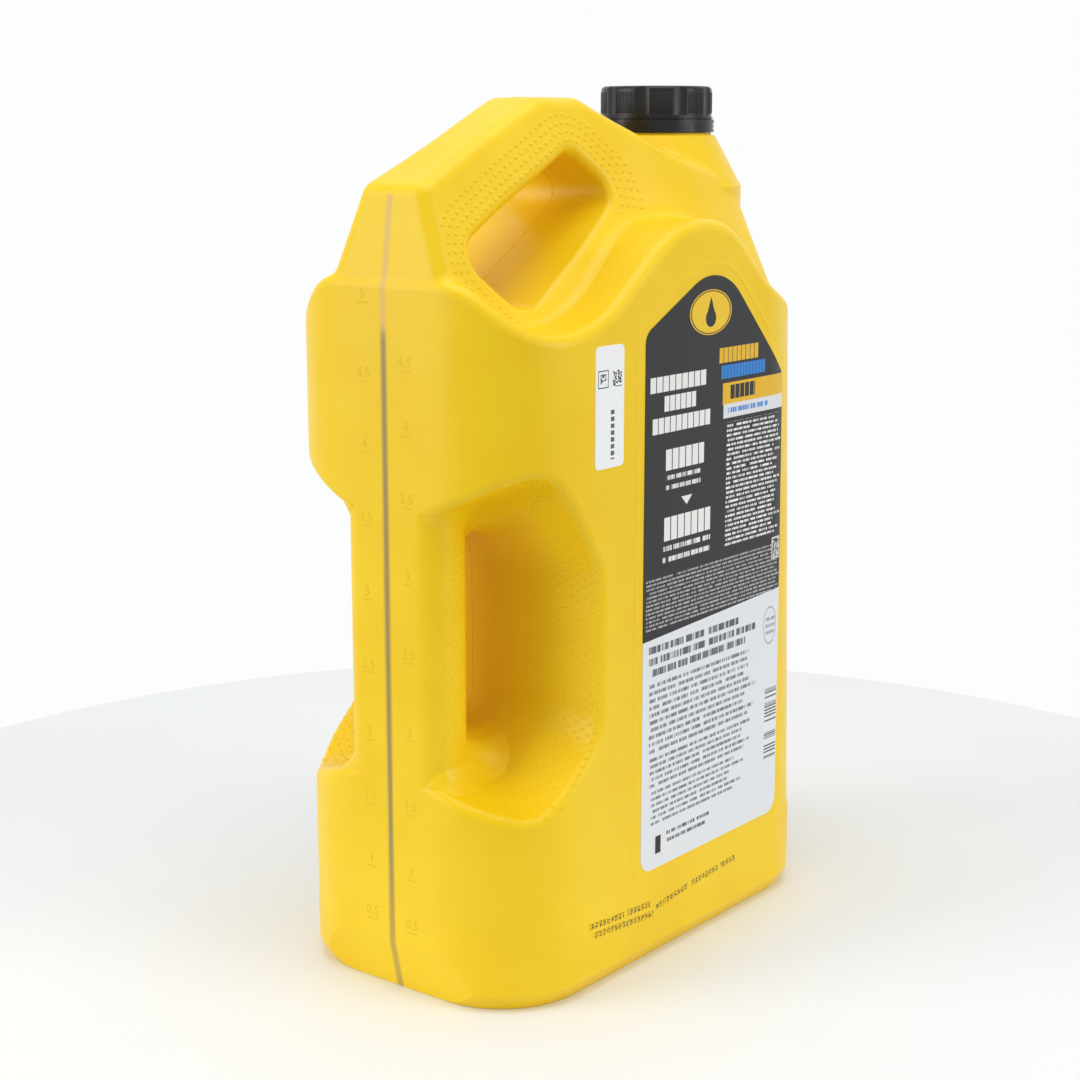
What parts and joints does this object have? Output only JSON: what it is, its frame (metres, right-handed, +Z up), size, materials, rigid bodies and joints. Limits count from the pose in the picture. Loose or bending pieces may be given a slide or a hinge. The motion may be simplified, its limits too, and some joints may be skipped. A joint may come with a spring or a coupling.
{
  "type": "motor oil bottle",
  "caption": "Rectangular blow-moulded oil jug with a top handle, a side hand grip, a screw cap on an offset neck and a label on each broad face.",
  "frame": {"origin": "middle of the base, on the ground", "axes": "+X across the width towards the end under the cap, +Y through the depth away from the face that the picture shows, +Z up"},
  "size_m": [0.196, 0.1128, 0.3108],
  "materials": {
    "jug_plastic": "satin",
    "cap_plastic": "satin",
    "liner_foam": "matt foam",
    "oil_fill": "clear amber liquid",
    "label_film": "satin film",
    "sticker_paper": "coated paper"
  },
  "bodies": {
    "jug": {"jug": "jug_plastic", "tamper_band": "cap_plastic", "oil": "oil_fill", "back_label": "label_film", "front_label": "label_film", "stock_sticker": "sticker_paper"},
    "cap_carrier": {"cap_liner": "liner_foam"},
    "cap": {"cap": "cap_plastic"}
  },
  "joints": [
    {"name": "cap_lift", "type": "slide", "parent": "jug", "child": "cap_carrier", "axis": [0, 0, 1], "range_m": [0, 0.0096]},
    {"name": "cap_turn", "type": "hinge", "parent": "cap_carrier", "child": "cap", "pos_m": [0.0564, 0, 0.3048], "axis": [0, 0, 1], "range_deg": [0, 810]}
  ],
  "couplings": [
    {"joint": "cap_lift", "follows": "cap_turn", "m_per_rad": 0.000673}
  ]
}
